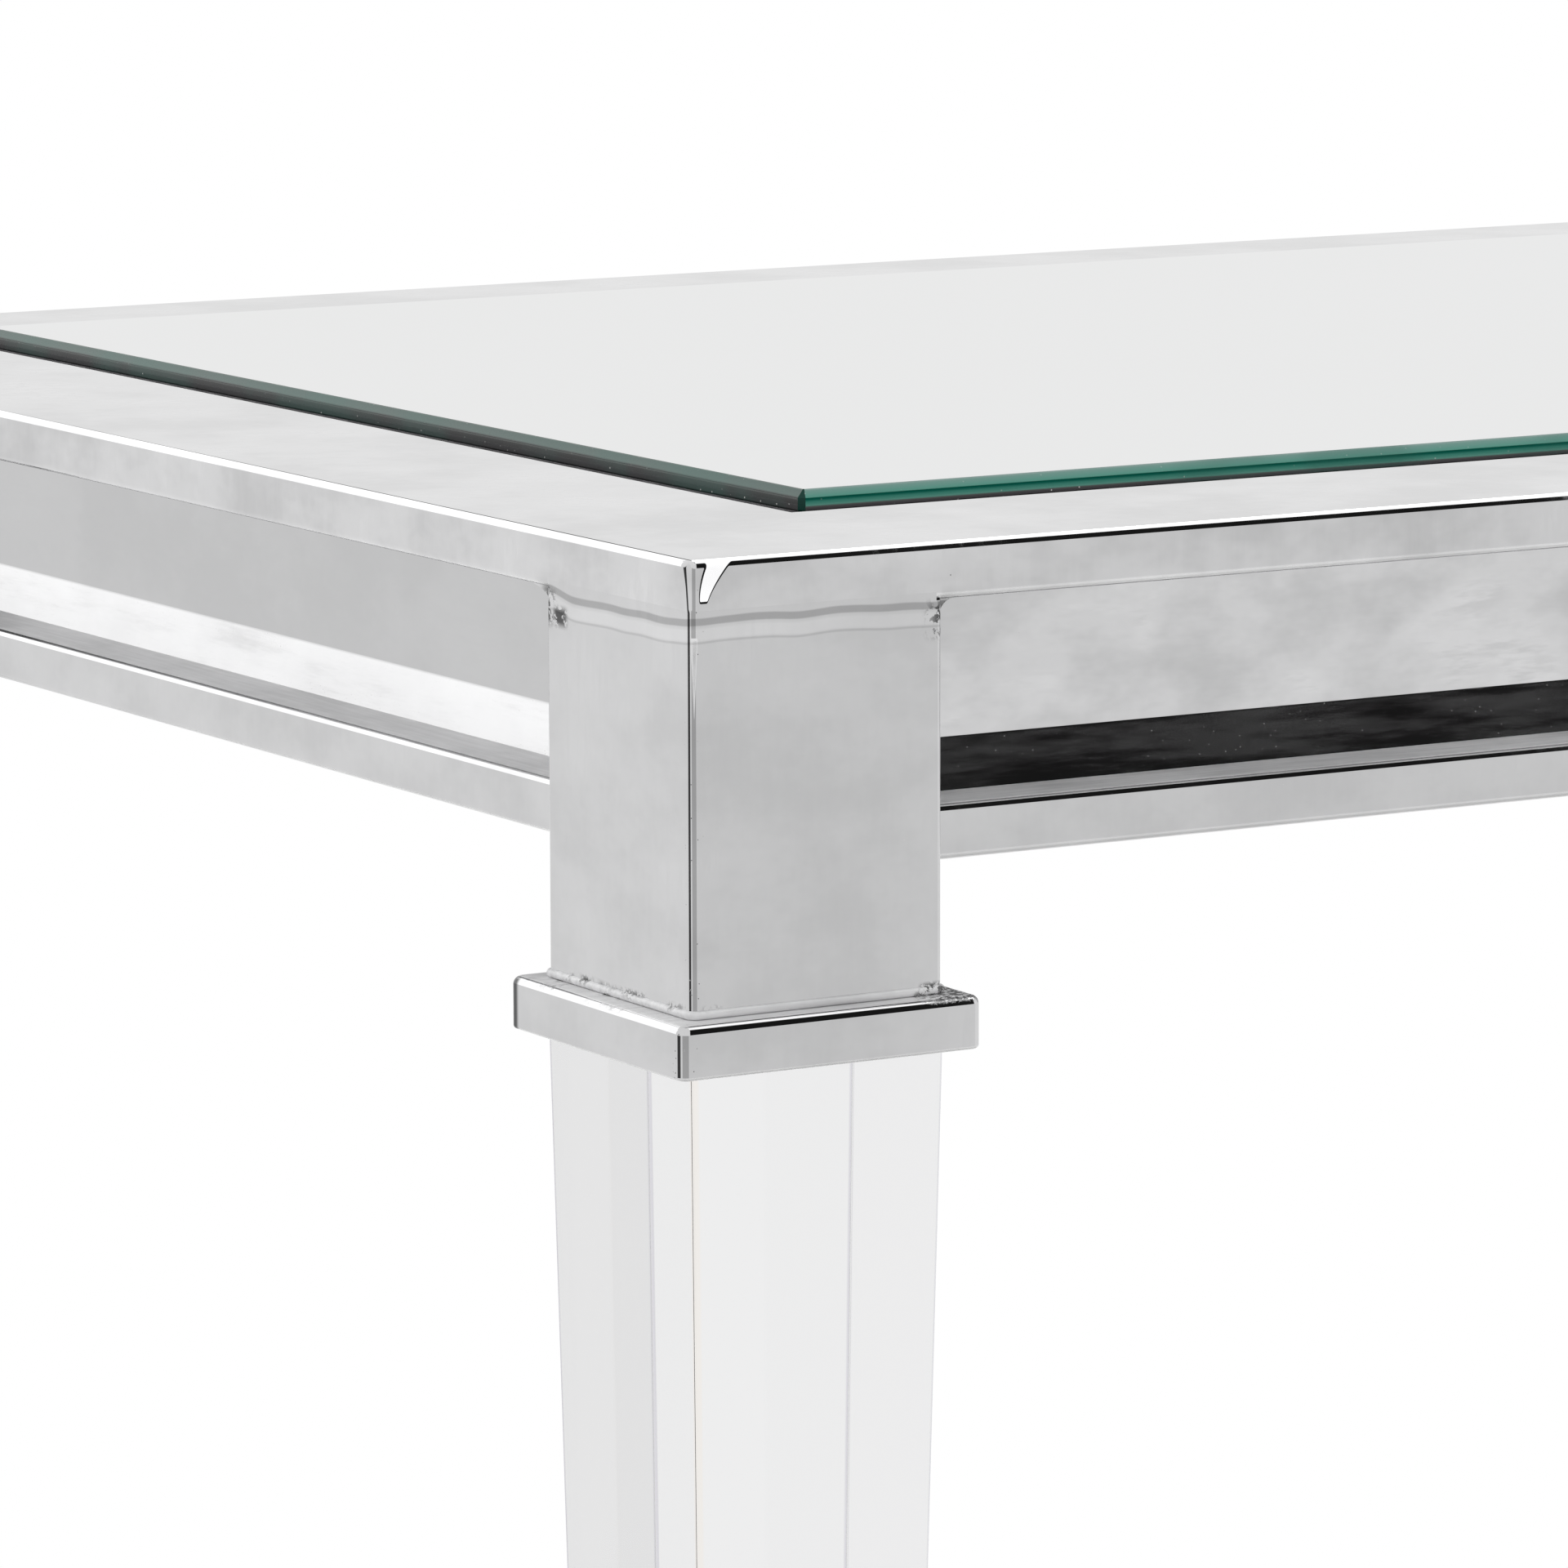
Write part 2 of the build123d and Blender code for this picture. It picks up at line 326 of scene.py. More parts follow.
# Bright flat on the upright corner of a post, below the rim
cornerFlat = {"top": 3.0, "bottom": 17.0, "offset": 0.25, "turn": (0.747, 0.332, 0.577)}


# Distances in from the end and from the long side of the table
def fromOutside(shop, x, y):
    return table["halfLength"] - shop.absolute(x), table["halfDepth"] - shop.absolute(y)


def nearPosts(shop, fromEnd, fromSide, soft):
    overEnd = 1.0 - shop.rise(fromEnd, table["post"], table["post"] + soft)
    return overEnd * (1.0 - shop.rise(fromSide, table["post"], table["post"] + soft))


# Noise drawn out along the run of a piece. On the rim it turns at each mitre.
def drawnOut(shop, place, size, runs, run, fromEnd, fromSide):
    if run != "mitre":
        return shop.noise(place, size, runs[run])
    crossing = shop.rise(fromSide - fromEnd, -5.0, 5.0)
    return shop.blend(crossing, shop.noise(place, size, runs["x"]), shop.noise(place, size, runs["y"]))


def leafFacet(shop, x, y, fromEnd, faceY, below, normal):
    left = shop.larger(1.0 - below / groundCorner["leafDrop"], 0.0)
    middle = groundCorner["leafFoot"] + groundCorner["leafSweep"] * left ** 1.6
    wide = groundCorner["leafNarrow"] + left * groundCorner["leafWiden"]
    leaf = 1.0 - shop.rise(shop.absolute(fromEnd - middle), wide * 0.62, wide)
    leaf = leaf * shop.rise(left, 0.0, 0.12) * shop.rise(faceY, 0.3, 0.8)
    return shop.facet(leaf, normal, x, y, groundCorner["leafTurn"])


def flareFacet(shop, x, y, fromSide, faceX, below, normal):
    over = shop.larger(1.0 - below / groundCorner["flareDrop"], 0.0)
    reach = groundCorner["flareStart"] + over ** 1.5 * groundCorner["flareReach"]
    flare = (1.0 - shop.rise(fromSide, 0.4, reach)) * shop.rise(faceX, 0.3, 0.8)
    flare = flare * shop.rise(over, 0.0, 0.1)
    return shop.facet(flare, normal, x, y, groundCorner["flareTurn"])


def cornerFacets(shop, x, y, z, normal):
    fromEnd, fromSide = fromOutside(shop, x, y)
    faceX, faceY = shop.facing()[:2]
    below = table["rimTop"] - z
    normal = leafFacet(shop, x, y, fromEnd, faceY, below, normal)
    normal = flareFacet(shop, x, y, fromSide, faceX, below, normal)
    along = (cornerFlat["bottom"] - (table["rimBottom"] - z)) / (cornerFlat["bottom"] - cornerFlat["top"])
    across = shop.absolute(fromEnd - fromSide - cornerFlat["offset"])
    flat = 1.0 - shop.rise(across, along * 0.5, along * 0.9 + 0.02)
    flat = flat * shop.near(along, 0.5, 0.45, 0.05)
    flat = flat * (1.0 - shop.rise(shop.larger(fromEnd, fromSide), 1.4, 1.6))
    return shop.facet(flat, normal, x, y, cornerFlat["turn"])


# Hollow, painted shade and highlight lines, weld pits and a painted shade line down the post's inner edges
# where the rim meets a post
def groundJunction(shop, place, z, fromEnd, fromSide, height, shade, pits):
    inward = shop.larger(fromEnd, fromSide)
    corner = nearPosts(shop, fromEnd, fromSide, junctionHollow["fade"])
    wander = shop.noise(place, junctionHollow["wanderSize"], (1, 1, 4), 1.0, 0.5, 1.3) - 0.5
    level = z - (table["rimBottom"] - junctionHollow["below"]) + wander * junctionHollow["wander"]
    height = height - shop.bell(level, junctionHollow["width"]) * corner * junctionHollow["depth"]
    # painted shade lines along the hollow, and below them a painted highlight line
    paintedFineShade = shop.near(level, junctionHollow["paintedFineShadeLine"], 0.05, 0.3)
    lines = shop.near(level, 0.0, 0.45, 0.35) + paintedFineShade * 0.5
    shade = shade + lines * corner * junctionHollow["shade"]
    shade = shade - shop.near(level, junctionHollow["paintedHighlightLine"], 0.7, 0.7) * corner * 0.10

    post, rimBottom = table["post"], table["rimBottom"]
    blots = shop.noise(place, junctionWeld["blotSize"], (1, 1, 1), 3.0, 0.7)
    outerPart = shop.rise(inward, post - junctionWeld["outerFrom"], post - junctionWeld["outerTo"])
    weldZone = shop.near(z, rimBottom - junctionWeld["level"], 1.6, 2.6) * outerPart * corner
    pits = shop.larger(pits, weldZone * shop.rise(blots, 0.47, 0.54))
    spot = shop.near(fromSide, post - junctionWeld["spotIn"], 1.3, 1.9)
    spot = spot * shop.near(z, rimBottom - junctionWeld["spotLevel"], 0.7, 1.7)
    spot = spot * shop.rise(shop.facing()[0], 0.3, 0.8) * shop.rise(blots, 0.40, 0.47) * corner
    pits = shop.larger(pits, spot)
    # painted shade line down the post's inner upright edges, below the rim
    paintedEdgeShade = shop.rise(inward, post - junctionWeld["paintedEdgeShadeFrom"], post - junctionWeld["paintedEdgeShadeTo"]) * corner
    shade = shade + paintedEdgeShade * shop.near(z, rimBottom - junctionWeld["paintedEdgeShadeLevel"], 5.0, 7.0) * 0.6
    edgeZone = 1.0 - shop.rise(inward, 1.2, 2.6)
    pits = shop.larger(pits, shop.specks(place, 1.1, 0.14, 0.35) * edgeZone)
    return height, shade, pits


def beadPits(shop, place, z, cloud, pits):
    zone = shop.near(z, table["collarTop"] + collarWeld["pitLevel"], 0.7, 1.2) * shop.rise(cloud, 0.50, 0.58)
    blots = shop.noise(place, collarWeld["blotSize"], (1, 1, 1), 3.0, 0.7, 4.4)
    return shop.larger(pits, zone * shop.rise(blots, 0.46, 0.54))


def collarEnds(shop, place, fromEnd, fromSide, shade, pits):
    inside = table["post"] + (table["collarSide"] - table["post"]) / 2
    # painted dark reflection on the far end of each collar's outer face
    paintedDarkEnd = shop.rise(fromSide, inside - collarWeld["paintedDarkEndFrom"], inside - collarWeld["paintedDarkEndTo"])
    shade = shade + paintedDarkEnd * shop.rise(shop.facing()[0], 0.3, 0.8) * 0.85
    edgeZone = 1.0 - shop.rise(shop.larger(fromEnd, fromSide), -3.2, -1.8)
    return shade, shop.larger(pits, shop.specks(place, 0.8, 0.16, 0.4) * edgeZone)


def flangeDustAndPaintedSheen(shop, name, place, z, rough, shade, dust):
    low = 1.0 - shop.rise(z, table["railTop"] + flange["full"], table["railTop"] + flange["end"])
    smear = shop.noise(place, flange["smearSize"], (9, 9, 1), 4.0, 0.65, 5.5)
    film = shop.rise(smear, 0.40, 0.62)
    # short aprons: the flange is painted lighter, a painted reflection of a bright light, less where smeared
    if name == "apronShort":
        shade = shade - low * (flange["dark"] - shop.rise(smear, 0.50, 0.80) * flange["cleared"])
    dust = shop.larger(dust, low * shop.specks(place, 1.1, 0.16, 0.35) * (film * 0.35 + 0.08))
    return rough * (1.0 - low * flange["calm"]), shade, dust, low * film * flange["dull"]


def satinLedge(shop, look, top, place, z, tone, rough):
    onTop = shop.rise(z, top - ledge["from"], top - ledge["to"])
    satin = shop.noise(place, ledge["grain"], grainRuns[look["run"]], 3.0)
    tone = tone + (satin - 0.5) * onTop * 1.5
    rough = rough + onTop * ledge["rough"] + onTop * satin * 0.1
    dark = shop.blend(onTop, look["dark"], ledge["dark"])
    return tone, rough, dark, shop.blend(onTop, look["light"], ledge["light"]), onTop * ledge["dull"]


def polishedSteel(name):
    look = steelLooks[name]
    material, shop = newMaterial("polishedSteel" + name[0].upper() + name[1:])
    place = shop.millimetres()
    x, y, z = shop.split(place)
    fromEnd, fromSide = fromOutside(shop, x, y)

    hair = drawnOut(shop, place, steelPatterns["hair"], grainRuns, look["run"], fromEnd, fromSide)
    ripple = drawnOut(shop, place, steelPatterns["ripple"], rippleRuns, look["run"], fromEnd, fromSide)
    wave = shop.noise(place, steelPatterns["wave"], (1.5, 1.5, 1), 1.0)
    cloud = shop.noise(place, steelPatterns["cloud"], (1.3, 1.3, 0.8), 4.0, 0.6, 3.1)
    streakRun = (5, 5, 1) if name.startswith("apron") else (1, 1, 5)
    streak = shop.noise(place, steelPatterns["streak"], streakRun, 3.0, 0.65, 7.7)
    smudge = shop.rise(cloud, 0.50, 0.68) * shop.rise(streak, 0.40, 0.62)

    height = wave * look["wave"] + ripple * look["ripple"] + hair * 0.00006
    tone = shop.rise(cloud, 0.30, 0.70) * 0.7 + streak * 0.3
    rough = look["rough"] + smudge * look["smudge"] + hair * 0.015
    shade = smudge * look["smudge"] * 0.6
    pits = shop.specks(place, 9.0, 0.16, 0.10)
    dust = shop.specks(place, 2.6, 0.10, 0.10)
    dark, light, dull = look["dark"], look["light"], 0.0

    if name in ("rim", "post"):
        height, shade, pits = groundJunction(shop, place, z, fromEnd, fromSide, height, shade, pits)
    if name in ("collar", "post"):
        pits = beadPits(shop, place, z, cloud, pits)
    if name == "post":  # painted shade line in the crease along the collar's weld
        shade = shade + shop.near(z, table["collarTop"] + collarWeld["paintedShadeLineLevel"], 0.1, 0.35) * 0.5
    if name == "collar":
        shade, pits = collarEnds(shop, place, fromEnd, fromSide, shade, pits)
    if name.startswith("apron"):
        rough, shade, dust, dull = flangeDustAndPaintedSheen(shop, name, place, z, rough, shade, dust)
    if name == "collar" or name.startswith("rail"):
        top = table["collarTop"] if name == "collar" else table["railTop"]
        tone, rough, dark, light, dull = satinLedge(shop, look, top, place, z, tone, rough)

    bright = shop.blend(tone, dark, light) * (1.0 - shade) * (1.0 - pits * 0.85)
    # the rim's upward faces are painted lighter, painted light on its top
    if name == "rim":
        bright = bright * (1.0 + shop.facing()[2] * 0.10)
    bright = shop.smaller(bright, steelMarks["brightest"])
    metal = shop.add("ShaderNodeCombineColor", None, [bright, bright, bright * steelMarks["blue"]])
    normal = shop.bump(height - pits * steelMarks["pitDepth"])
    if name in ("rim", "post"):
        normal = cornerFacets(shop, x, y, z, normal)
    shop.finishSurface({
        "Base Color": shop.blendColour(dust, metal, steelMarks["dust"]),
        "Metallic": 1.0 - dust * 0.8 - dull,
        "Roughness": rough + pits * 0.4,
        "Normal": normal,
    })
    return material


# How copies of CAD nodes are joined: distance in millimetres, the rest in degrees
joining = {"distance": 0.002, "flat": 0.05, "crease": 24.0, "apronCrease": 5.0, "paneCrease": 12.0}


# A copy of a CAD node with its loose triangles joined, so that rolled edges shade smoothly
def smoothCopy(node, name, materials, creaseAngle=joining["crease"]):
    mesh = nodes[node].data.copy()
    mesh.name = name
    mesh.materials.clear()
    for material in materials:
        mesh.materials.append(material)
    work = bmesh.new()
    work.from_mesh(mesh)
    bmesh.ops.remove_doubles(work, verts=work.verts, dist=joining["distance"] * millimetre)
    bmesh.ops.dissolve_limit(
        work, angle_limit=radians(joining["flat"]), verts=work.verts, edges=work.edges,
        use_dissolve_boundaries=False)
    for face in work.faces:
        face.smooth = True
        face.material_index = 0
    for edge in work.edges:
        edge.smooth = len(edge.link_faces) == 2 and edge.calc_face_angle(0.0) < radians(creaseAngle)
    work.to_mesh(mesh)
    work.free()
    if mesh.attributes.get("custom_normal"):
        mesh.attributes.remove(mesh.attributes["custom_normal"])
    piece = bpy.data.objects.new(name, mesh)
    bpy.context.scene.collection.objects.link(piece)
    weighted = piece.modifiers.new("keepFlatsFlat", "WEIGHTED_NORMAL")
    weighted.keep_sharp = True
    weighted.weight = 100
    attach(piece, nodes[node]["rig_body"])
    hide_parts(node)
    return piece


corners = ("front_left", "front_right", "back_left", "back_right")
steel = {name: polishedSteel(name) for name in steelLooks}
for side in ("front", "back"):
    smoothCopy("rim_" + side, "rimTube_" + side, [steel["rim"]])
    smoothCopy("apron_" + side, "apronPanel_" + side, [steel["apronLong"]],
               joining["apronCrease"])
    smoothCopy("rail_" + side, "railTube_" + side, [steel["railLong"]])
for side in ("left", "right"):
    smoothCopy("rim_" + side, "rimTube_" + side, [steel["rim"]])
    smoothCopy("apron_" + side, "apronPanel_" + side, [steel["apronShort"]],
               joining["apronCrease"])
    smoothCopy("rail_" + side, "railTube_" + side, [steel["railShort"]])
for corner in corners:
    smoothCopy("post_" + corner, "postTube_" + corner, [steel["post"]])
    smoothCopy("collar_" + corner, "collarRing_" + corner, [steel["collar"]])
smoothCopy("corner_welds", "cornerWelds", [steel["post"]])
smoothCopy("collar_welds", "collarWelds", [steel["collar"]])


print("acrylic legs")

# Clear acrylic, with painted refraction tints along the legs' upright edges
acrylic = {
    "tint": (0.955, 0.955, 0.958, 1.0),
    "paintedCreamEdge": (1.0, 0.90, 0.78, 1.0),
    "paintedVioletEdge": (0.42, 0.40, 0.50, 1.0),
    "refraction": 1.49,
    "handling": 0.003,
    "footHalf": 12.2,
    "footLevel": 3.0,
}


def clearAcrylic():
    material, shop = newMaterial("clearAcrylic")
    place = shop.millimetres()
    x, y, z = shop.split(place)
    topHalf = table["post"] / 2
    outX = shop.absolute(x) - (table["halfLength"] - topHalf)
    outY = shop.absolute(y) - (table["halfDepth"] - topHalf)
    taper = (topHalf - acrylic["footHalf"]) / (table["collarBottom"] - acrylic["footLevel"])
    half = acrylic["footHalf"] + (z - acrylic["footLevel"]) * taper
    edge = 1.0 - shop.rise(shop.larger(half - shop.absolute(outX), half - shop.absolute(outY)), 0.5, 1.1)
    outer = shop.rise(outX, 0.0, 1.0) * shop.rise(outY, 0.0, 1.0)
    haze = shop.rise(shop.noise(place, 30.0, (1, 1, 2), 3.0), 0.55, 0.75)
    wave = shop.noise(place, 60.0, (1, 1, 3), 1.0)
    motes = shop.specks(place, 11.0, 0.18, 0.12)
    # painted light along the upright edges: cream on the outer edges, violet on the inner ones
    colour = shop.blendColour(edge * outer * 0.6, acrylic["tint"], acrylic["paintedCreamEdge"])
    colour = shop.blendColour(edge * (1.0 - outer) * 0.7, colour, acrylic["paintedVioletEdge"])
    colour = shop.blendColour(motes, colour, (0.55, 0.55, 0.55, 1.0))
    shop.finishSurface({
        "Base Color": colour,
        "Roughness": haze * acrylic["handling"] + motes * 0.3,
        "IOR": acrylic["refraction"],
        "Transmission Weight": 1.0,
        "Normal": shop.bump(wave * 0.012),
    })
    return material


acrylicMaterial = clearAcrylic()
for corner in corners:
    smoothCopy("leg_" + corner, "acrylicLeg_" + corner, [acrylicMaterial])


print("mirror pane")

pane = {
    "refraction": 1.52,
    "silver": (0.930, 0.938, 0.936, 1.0),
    "silverWorn": (0.915, 0.925, 0.922, 1.0),
    "corner": (0.004, 0.040, 0.030, 1.0),
    "dust": (0.62, 0.62, 0.60, 1.0),
}

# Colours down the ground edge of the pane, in millimetres below its top: arris with a painted reflection,
# upright face, and a painted shadow in the gap at its foot. The short ends look into the length of the glass,
# so they are painted darker, with a painted highlight line under the arris.
longEdge = [
    (0.0, (0.26, 0.34, 0.32)),
    (0.35, (0.13, 0.26, 0.225)),
    (1.35, (0.06, 0.24, 0.185)),
    (1.5, (0.0, 0.085, 0.057)),
    (1.8, (0.003, 0.115, 0.080)),
    (2.2, (0.050, 0.250, 0.190)),
    (2.85, (0.110, 0.330, 0.260)),
    (3.0, (0.110, 0.120, 0.115)),
    (3.3, (0.065, 0.062, 0.066)),
    (4.0, (0.060, 0.057, 0.061)),
]
shortEdge = [
    (0.0, (0.17, 0.19, 0.18)),
    (0.2, (0.060, 0.100, 0.088)),
    (1.2, (0.070, 0.110, 0.098)),
    (1.42, (0.022, 0.030, 0.028)),
    (1.52, (0.006, 0.008, 0.008)),
    (1.64, (0.095, 0.105, 0.100)),
    (1.85, (0.008, 0.009, 0.009)),
    (2.5, (0.006, 0.007, 0.007)),
    (2.7, (0.040, 0.040, 0.042)),
    (4.0, (0.030, 0.030, 0.031)),
]


# Silvered glass seen through its top: a slightly green mirror under a clear gloss
def mirrorFace():
    material, shop = newMaterial("mirrorFace")
    place = shop.millimetres()
    cloud = shop.noise(place, 80.0, (1, 1, 1), 3.0)
    haze = shop.rise(shop.noise(place, 60.0, (1, 1, 1), 4.0, 0.6, 2.2), 0.52, 0.70)
    motes = shop.specks(place, 14.0, 0.20, 0.12)
    silver = shop.blendColour(cloud, pane["silver"], pane["silverWorn"])
    shop.finishSurface({
        "Base Color": shop.blendColour(motes, silver, pane["dust"]),
        "Metallic": 1.0 - motes * 0.8,
        "Roughness": 0.012 + haze * 0.012 + motes * 0.4,
        "Coat Weight": 0.5,
        "Coat Roughness": 0.02,
        "Coat IOR": pane["refraction"],
        "Normal": shop.bump(shop.noise(place, 90.0, (1, 1, 1), 1.0) * 0.02),
    })
    return material


def paneEdge():
    material, shop = newMaterial("paneEdge")
    place = shop.millimetres()
    z = shop.split(place)[2]
    faceX, faceY = shop.facing()[:2]
    drift = shop.noise(place, 38.0, (1, 1, 1), 3.0)
    # painted edge colours, with a painted reflection on the arris and a painted shadow at the foot
    down = table["paneTop"] - z
    edge = shop.blendColour(
        shop.rise(faceX, 0.35, 0.6), shop.gradient(down, longEdge), shop.gradient(down, shortEdge))
    edge = shop.blendColour(shop.rise(drift, 0.45, 0.6) * 0.35, edge, (0.03, 0.12, 0.095, 1.0))
    edge = shop.blendColour(shop.rise(shop.smaller(faceX, faceY), 0.3, 0.5), edge, pane["corner"])
    low = shop.rise(down, 2.5, 2.9)
    chips = shop.specks(place, 1.5, 0.20, 0.25) * (low * 0.8 + 0.2)
    edge = shop.blendColour(chips, edge, pane["dust"])
    shop.finishSurface({
        "Base Color": edge,
        "Roughness": 0.14 + chips * 0.3 + low * 0.3,
        "IOR": pane["refraction"],
        "Specular IOR Level": 0.15,
        "Normal": shop.bump(shop.noise(place, 0.8, (1, 1, 1), 2.0) * 0.004),
    })
    return material


paneMaterials = [mirrorFace(), paneEdge()]
mirror = smoothCopy("mirror_glass", "mirrorPane", paneMaterials, joining["paneCrease"])
for face in mirror.data.polygons:
    face.material_index = 0 if abs(face.normal.z) > 0.9 else 1
mirror.visible_glossy = False  # keeps a second, mirrored pane edge out of the rim

backing = {
    "paint": (0.13, 0.12, 0.135, 1.0), "worn": (0.24, 0.23, 0.24, 1.0), "clearance": 0.04, "reach": 0.1,
}


def backingPaint():
    material, shop = newMaterial("silverBackingPaint")
    place = shop.millimetres()
    cloud = shop.noise(place, 6.0, (1, 1, 1), 5.0, 0.6)
    shop.finishSurface({
        "Base Color": shop.blendColour(shop.rise(cloud, 0.45, 0.7), backing["paint"], backing["worn"]),
        "Roughness": 0.45 + cloud * 0.2,
        "Normal": shop.bump(cloud * 0.02),
    })
    return material


paint = smoothCopy("mirror_silvering", "mirrorBacking", [backingPaint()])
for point in paint.data.vertices:  # the paint lies just clear of the silvered face
    if point.co.z > paneLow.z - backing["reach"] * millimetre:
        point.co.z -= backing["clearance"] * millimetre

board = {
    "face": (0.010, 0.010, 0.011, 1.0),
    "fibre": (0.035, 0.033, 0.032, 1.0),
    "cut": (0.12, 0.085, 0.055, 1.0),
}


def paintedBoard():
    material, shop = newMaterial("paintedBoard")
    place = shop.millimetres()
    fibre = shop.noise(place, 1.6, (3, 1, 1), 5.0, 0.7)
    roll = shop.noise(place, 0.8, (1, 1, 1), 3.0, 0.6)
    cloud = shop.noise(place, 70.0, (1, 1, 1), 4.0)
    scuffs = shop.rise(shop.noise(place, 9.0, (6, 1, 1), 4.0, 0.65, 2.2), 0.62, 0.72)
    colour = shop.blendColour(shop.rise(fibre, 0.45, 0.75), board["face"], board["fibre"])
    colour = shop.blendColour(scuffs * cloud * 0.5, colour, board["cut"])
    shop.finishSurface({
        "Base Color": colour,
        "Roughness": 0.52 + roll * 0.25,
        "Normal": shop.bump(roll * 0.05 + fibre * 0.04),
    })
    return material


smoothCopy("backing_board", "backingBoard", [paintedBoard()])


print("bars, screws and glides")

mill = {
    "dark": (0.28, 0.28, 0.285, 1.0),
    "light": (0.46, 0.46, 0.465, 1.0),
    "blue": (0.16, 0.17, 0.24, 1.0),
    "weld": (0.10, 0.09, 0.08, 1.0),
    "weldFrom": 52.0,  # in from the long side of the table, in millimetres
    "weldTo": 44.0,
    "heated": 56.0,
}
screws = {"dark": (0.50, 0.50, 0.51, 1.0), "light": (0.66, 0.66, 0.67, 1.0)}
glides = {"clean": (0.82, 0.82, 0.79, 1.0), "scuffed": (0.45, 0.43, 0.40, 1.0)}


def millSteel():
    material, shop = newMaterial("millSteel")
    place = shop.millimetres()
    across = shop.absolute(shop.split(place)[1])
    scale = shop.noise(place, 14.0, (1, 3, 1), 5.0, 0.6)
    lines = shop.noise(place, 0.7, (1, 20, 1), 3.0)
    colour = shop.blendColour(scale * 0.6 + lines * 0.4, mill["dark"], mill["light"])
    welded = shop.rise(across, table["halfDepth"] - mill["weldFrom"], table["halfDepth"] - mill["weldTo"])
    heated = shop.near(across, table["halfDepth"] - mill["heated"], 3.0, 5.0)
    colour = shop.blendColour(heated * 0.6, colour, mill["blue"])
    shop.finishSurface({
        "Base Color": shop.blendColour(welded * scale * 0.4, colour, mill["weld"]),
        "Metallic": 1.0,
        "Roughness": 0.32 + scale * 0.2,
        "Normal": shop.bump(lines * 0.004 + scale * 0.03),
    })
    return material


def screwSteel():
    material, shop = newMaterial("screwSteel")
    place = shop.millimetres()
    turned = shop.noise(place, 0.4, (1, 1, 1), 3.0)
    shop.finishSurface({
        "Base Color": shop.blendColour(turned, screws["dark"], screws["light"]),
        "Metallic": 1.0,
        "Roughness": 0.22 + turned * 0.15,
        "Normal": shop.bump(turned * 0.006),
    })
    return material


def whiteNylon():
    material, shop = newMaterial("whiteNylon")
    place = shop.millimetres()
    underneath = 1.0 - shop.rise(shop.split(place)[2], 0.1, 1.0)
    grain = shop.noise(place, 0.6, (1, 1, 1), 3.0)
    scuff = shop.rise(shop.noise(place, 2.5, (1, 1, 1), 4.0, 0.65), 0.5, 0.65) * underneath
    shop.finishSurface({
        "Base Color": shop.blendColour(scuff, glides["clean"], glides["scuffed"]),
        "Roughness": 0.42 + grain * 0.15,
        "Subsurface Weight": 0.15,
        "Subsurface Radius": (0.002, 0.002, 0.0018),
        "Normal": shop.bump(grain * 0.01),
    })
    return material


bare = millSteel()
for bar in ("left", "middle", "right"):
    smoothCopy("cross_bar_" + bar, "crossBar_" + bar, [bare])
smoothCopy("leg_screws", "legScrews", [screwSteel()])
nylon = whiteNylon()
for corner in corners:
    smoothCopy("glide_" + corner, "footGlide_" + corner, [nylon])


print("studio")

studio = {
    "above": 0.97,  # brightness of the room above eye level
    "below": 0.90,
    "shown": 1.0,
    "sweepFrom": 10.0,  # elevation above which a swept card curves back
    "floorReach": 1.65,
    "floorFade": 0.65,
    "floorRim": 10.0,  # millimetres of clear rim
    "floorSides": 96,
    "floorDark": (0.80, 0.80, 0.795, 1.0),
    "floorLight": (0.84, 0.84, 0.835, 1.0),
}
overhead = {"place": (0.9, 0.9, 2.6), "target": (0, 0, 0.4), "size": (2.2, 1.4), "power": 34}

# Soft boxes, grey cards and dark flags round the table: middle azimuth and half width, lowest and highest
# elevation, in degrees, softness of their edges and brightness. Azimuth 0 is +Y and 90 is +X. A card with
# sweep curves back as it rises, and one that is steelOnly isn't seen through the acrylic.
cards = [
    {"azimuth": -14, "half": 26, "low": 3, "high": 34, "soft": 4, "level": 1.55},
    {"azimuth": 88, "half": 26, "low": 42, "high": 64, "soft": 4, "level": 1.60},
    {"azimuth": 33, "half": 22, "low": -2, "high": 14, "soft": 4, "level": 0.84},
    {"azimuth": 22, "half": 3, "low": 20, "high": 26, "soft": 3, "level": 0.10},
    {"azimuth": 149, "half": 20, "low": -18, "high": -3, "soft": 4, "level": 0.80},
    {"azimuth": 149.5, "half": 9, "low": 3, "high": 52, "soft": 3, "level": 0.012, "sweep": 0.0133},
    {"azimuth": 207, "half": 30, "low": -14, "high": -3, "soft": 4, "level": 0.50},
    {"azimuth": 276, "half": 16, "low": -14, "high": -3, "soft": 4, "level": 0.06, "steelOnly": True},
]


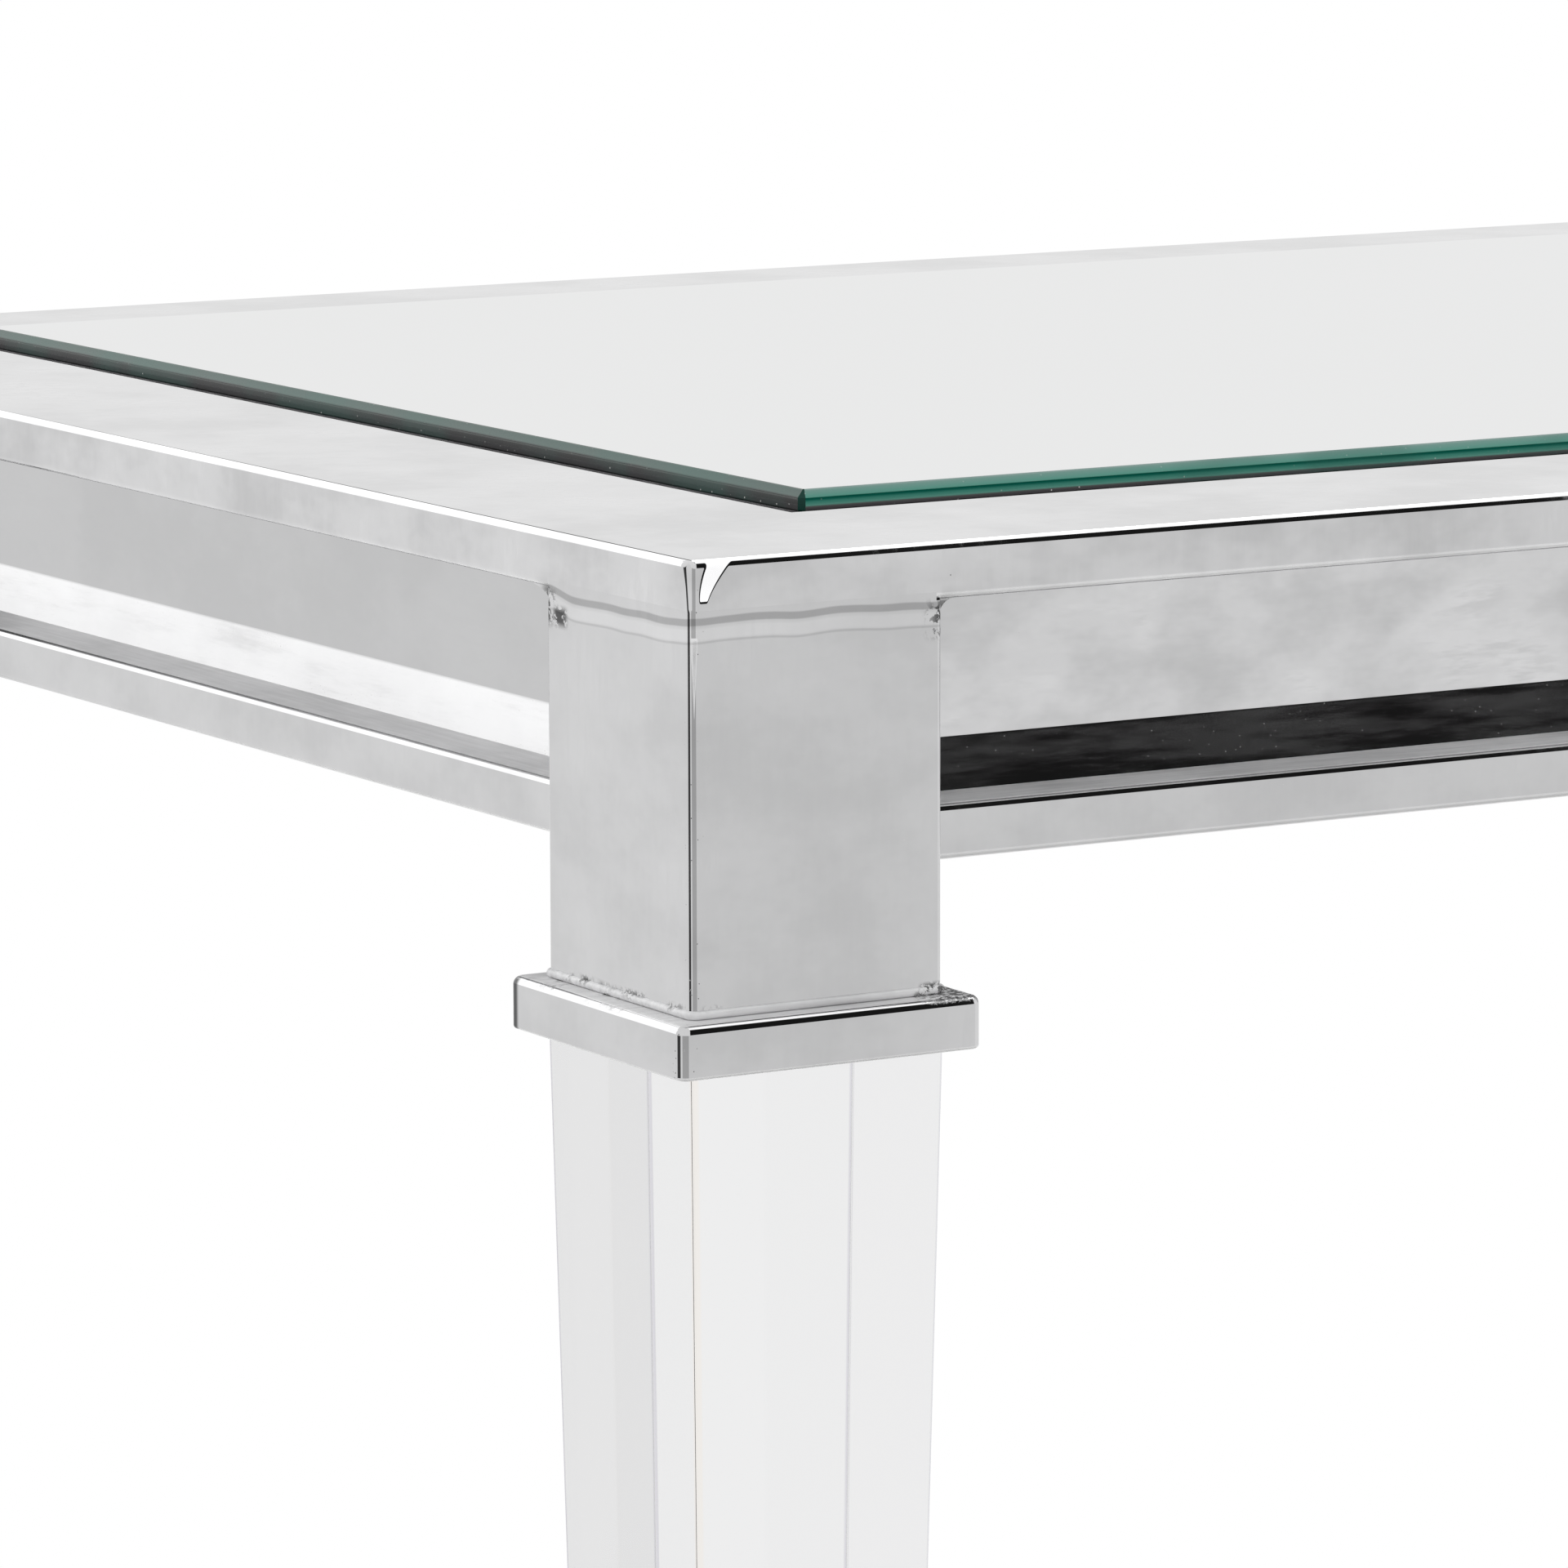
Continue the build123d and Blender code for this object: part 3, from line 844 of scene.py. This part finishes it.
def lightStudio():
    world = bpy.data.worlds.new("studio")
    bpy.context.scene.world = world
    world.use_nodes = True
    shop = Shop(world.node_tree)
    direction = shop.add("ShaderNodeTexCoord", None, None, "Generated")
    x, y, z = shop.split(direction)
    degree = radians(1)
    elevation = shop.maths("ARCSINE", z) / degree
    azimuth = shop.maths("ARCTAN2", x, y) / degree
    level = shop.blend(shop.rise(elevation, -3.0, 3.0), studio["below"], studio["above"])
    seen = shop.add("ShaderNodeLightPath", None, None, "Is Camera Ray")
    outsideAcrylic = 1.0 - seen.pick("Is Transmission Ray")
    for card in cards:
        turned = azimuth - card["azimuth"]
        if "sweep" in card:
            turned = turned + shop.larger(elevation - studio["sweepFrom"], 0.0) ** 2.0 * card["sweep"]
        off = shop.maths("WRAP", turned, 180.0, -180.0)
        middle = (card["low"] + card["high"]) / 2
        tall = (card["high"] - card["low"]) / 2
        mask = shop.near(off, 0.0, card["half"], card["soft"])
        mask = mask * shop.near(elevation, middle, tall, card["soft"])
        if "steelOnly" in card:
            mask = mask * outsideAcrylic
        level = shop.blend(mask, level, card["level"])
    light = shop.add("ShaderNodeBackground", None, {"Color": (1, 1, 1, 1), "Strength": level})
    backdrop = shop.add("ShaderNodeBackground", None, {"Color": (1, 1, 1, 1), "Strength": studio["shown"]})
    mixed = shop.add("ShaderNodeMixShader", None, [seen, light, backdrop])
    shop.add("ShaderNodeOutputWorld", None, {"Surface": mixed})


def paleFloor():
    work = bmesh.new()
    bmesh.ops.create_circle(work, cap_ends=True, segments=studio["floorSides"], radius=studio["floorReach"])
    mesh = bpy.data.meshes.new("paleFloor")
    work.to_mesh(mesh)
    work.free()
    floor = bpy.data.objects.new("paleFloor", mesh)
    bpy.context.scene.collection.objects.link(floor)
    material, shop = newMaterial("paleFloor")
    place = shop.millimetres()
    grain = shop.noise(place, 3.0, (1, 1, 1), 4.0, 0.6)
    reach = studio["floorReach"] / millimetre
    distance = shop.vectors("LENGTH", place).pick("Value")
    fade = shop.rise(distance, reach - studio["floorFade"] / millimetre, reach - studio["floorRim"])
    underneath = shop.add("ShaderNodeNewGeometry", None, None, "Backfacing")
    fade = shop.larger(fade, underneath)
    surface = shop.add("ShaderNodeBsdfPrincipled", None, {
        "Base Color": shop.blendColour(grain, studio["floorDark"], studio["floorLight"]),
        "Roughness": 0.6 + grain * 0.1,
        "Normal": shop.bump(grain * 0.02),
    })
    clear = shop.add("ShaderNodeBsdfTransparent")
    mixed = shop.add("ShaderNodeMixShader", None, [fade, surface, clear])
    shop.add("ShaderNodeOutputMaterial", None, {"Surface": mixed})
    mesh.materials.append(material)


def softBox(name, box):
    light = bpy.data.lights.new(name, "AREA")
    light.shape = "RECTANGLE"
    light.size, light.size_y = box["size"]
    light.energy = box["power"]
    lamp = bpy.data.objects.new(name, light)
    bpy.context.scene.collection.objects.link(lamp)
    lamp.location = box["place"]
    towards = Vector(box["target"]) - Vector(box["place"])
    lamp.rotation_euler = towards.to_track_quat("-Z", "Y").to_euler()


lightStudio()
paleFloor()
softBox("overheadBox", overhead)


print("camera")

camera = {
    "azimuth": 30.664,  # direction of view, from +Y towards +X
    "pitch": -8.908,
    "roll": -0.137,
    "lens": 190.9,
    "sensor": 36.0,
    "clipEnd": 50.0,
    "fromCorner": (-0.692, -1.1972, 0.1789),  # from the top front left corner of the rim
}


def placeCamera():
    data = bpy.data.cameras.new("camera")
    data.lens = camera["lens"]
    data.sensor_width = camera["sensor"]
    data.clip_end = camera["clipEnd"]
    view = bpy.data.objects.new("camera", data)
    bpy.context.scene.collection.objects.link(view)
    turn = (
        Matrix.Rotation(radians(-camera["azimuth"]), 4, "Z")
        @ Matrix.Rotation(radians(90 + camera["pitch"]), 4, "X")
        @ Matrix.Rotation(radians(camera["roll"]), 4, "Z")
    )
    corner = Vector((rimLow.x, rimLow.y, rimHigh.z))
    view.matrix_world = Matrix.Translation(corner + Vector(camera["fromCorner"])) @ turn
    bpy.context.scene.camera = view


placeCamera()
bpy.context.scene.view_settings.view_transform = "Standard"
